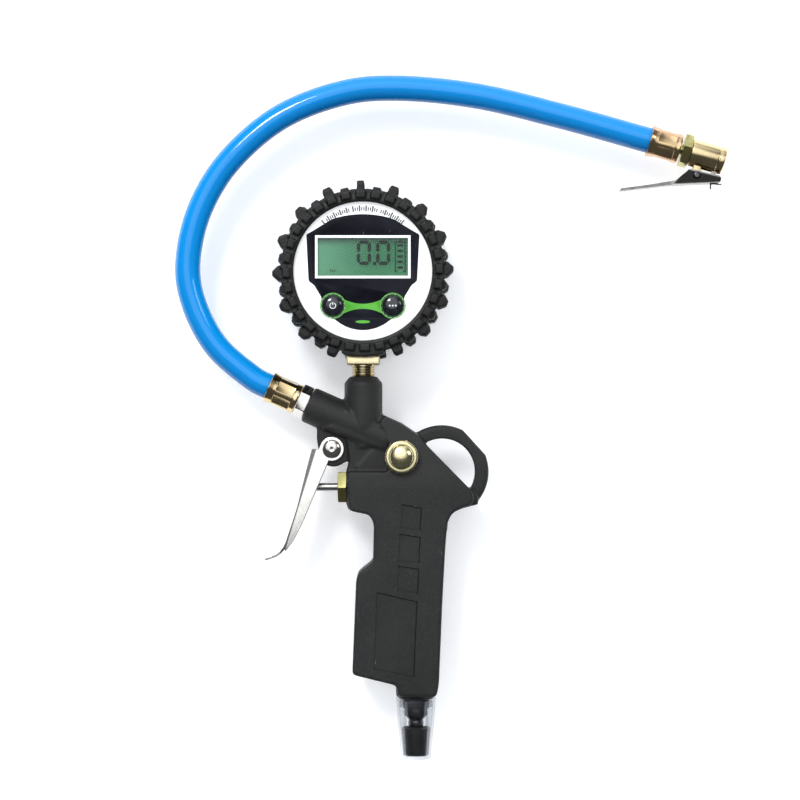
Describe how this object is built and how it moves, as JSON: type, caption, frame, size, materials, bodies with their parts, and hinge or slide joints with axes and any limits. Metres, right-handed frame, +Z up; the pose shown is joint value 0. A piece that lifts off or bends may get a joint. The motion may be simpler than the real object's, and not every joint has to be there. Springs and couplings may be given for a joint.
{
  "type": "tyre inflator with gauge",
  "caption": "Hand-held air gun with a trigger, digital pressure gauge in a treaded rubber boot, hose and clip-on tyre chuck.",
  "frame": {"origin": "centre of the inlet cap's flat end, on the air inlet's axis", "axes": "+Z up along the inlet axis towards the gauge, -Y out of the gauge's dial, +X away from the trigger"},
  "size_m": [0.2594, 0.0395, 0.3206],
  "materials": {
    "powder_coat": "dark grey powder coat with a fine grain",
    "nickel_plate": "bright nickel plate",
    "steel": "bright steel",
    "brass": "polished brass with a yellow passivated tint",
    "seal_rubber": "matt black rubber",
    "boot_rubber": "moulded black rubber with a tyre tread",
    "clear_plastic": "clear plastic",
    "black_plastic": "black moulded plastic",
    "printed_panel": "white panel with a navy and green print",
    "display_glass": "green display with dark digits",
    "gloss_black": "gloss black plastic",
    "circuit_board": "green solder mask",
    "battery_jacket": "printed battery jacket",
    "hose_rubber": "glossy blue rubber and PVC"
  },
  "bodies": {
    "gun_body": {"body_casting": "powder_coat", "trigger_pivot_pin": "nickel_plate", "valve_gland_nut": "brass", "gland_seal": "seal_rubber", "valve_seat_insert": "brass", "valve_spring": "steel", "bleed_nut": "brass", "bleed_spring": "steel", "inlet_plug": "steel", "inlet_seal_washer": "seal_rubber", "gauge_stem": "brass", "stem_seal": "seal_rubber", "stem_nut": "brass", "pressure_sensor": "steel", "gauge_boot": "boot_rubber", "gauge_case": "black_plastic", "gauge_back_cover": "black_plastic", "case_screw_1": "steel", "case_screw_2": "steel", "case_screw_3": "steel", "case_screw_4": "steel", "dial_plate": "printed_panel", "lcd_window": "clear_plastic", "lcd_module": "display_glass", "lcd_backlight": "printed_panel", "switch_on": "steel", "switch_mode": "steel", "circuit_board": "circuit_board", "battery_lower": "battery_jacket", "battery_upper": "battery_jacket", "battery_contact_left": "nickel_plate", "battery_contact_right": "nickel_plate", "hose_fitting": "nickel_plate", "ferrule_gun": "brass", "hose": "hose_rubber", "ferrule_chuck": "brass", "chuck_tail": "brass", "chuck_body": "brass", "chuck_seal": "seal_rubber", "chuck_pin": "brass", "clip_pin": "steel", "clip_spring": "steel"},
    "trigger": {"trigger_lever": "nickel_plate"},
    "valve_rod": {"pushrod": "steel", "valve_poppet": "brass", "poppet_seal": "seal_rubber"},
    "bleed_plunger": {"bleed_button": "brass", "bleed_stem": "steel", "bleed_seal": "seal_rubber"},
    "clip": {"clip_lever": "steel"},
    "on_button": {"button_on": "gloss_black"},
    "function_button": {"button_mode": "gloss_black"},
    "cap": {"inlet_cap": "clear_plastic", "inlet_cap_bung": "seal_rubber"},
    "door": {"battery_door": "black_plastic", "battery_door_screw": "steel"}
  },
  "joints": [
    {"name": "trigger_pull", "type": "hinge", "parent": "gun_body", "child": "trigger", "pos_m": [-0.0394, 0, 0.1454], "axis": [0, -1, 0], "range_deg": [0, 14]},
    {"name": "valve_push", "type": "slide", "parent": "gun_body", "child": "valve_rod", "axis": [1, 0, 0], "range_m": [0, 0.0046], "deforming": ["valve_spring"]},
    {"name": "bleed_press", "type": "slide", "parent": "gun_body", "child": "bleed_plunger", "axis": [0, 1, 0], "range_m": [0, 0.0023], "deforming": ["bleed_spring"]},
    {"name": "clip_release", "type": "hinge", "parent": "gun_body", "child": "clip", "pos_m": [0.1315, 0, 0.2736], "axis": [0, 1, 0], "range_deg": [0, 14], "deforming": ["clip_spring"]},
    {"name": "on_button_press", "type": "slide", "parent": "gun_body", "child": "on_button", "axis": [0, 1, 0], "range_m": [0, 0.0006]},
    {"name": "function_button_press", "type": "slide", "parent": "gun_body", "child": "function_button", "axis": [0, 1, 0], "range_m": [0, 0.0006]},
    {"name": "inlet_cap_pull", "type": "slide", "parent": "gun_body", "child": "cap", "axis": [0, 0, -1], "range_m": [0, 0.032]},
    {"name": "battery_door_lift", "type": "slide", "parent": "gun_body", "child": "door", "axis": [0, 1, 0], "range_m": [0, 0.015]}
  ],
  "couplings": [
    {"joint": "valve_push", "follows": "trigger_pull", "m_per_rad": 0.0185}
  ]
}
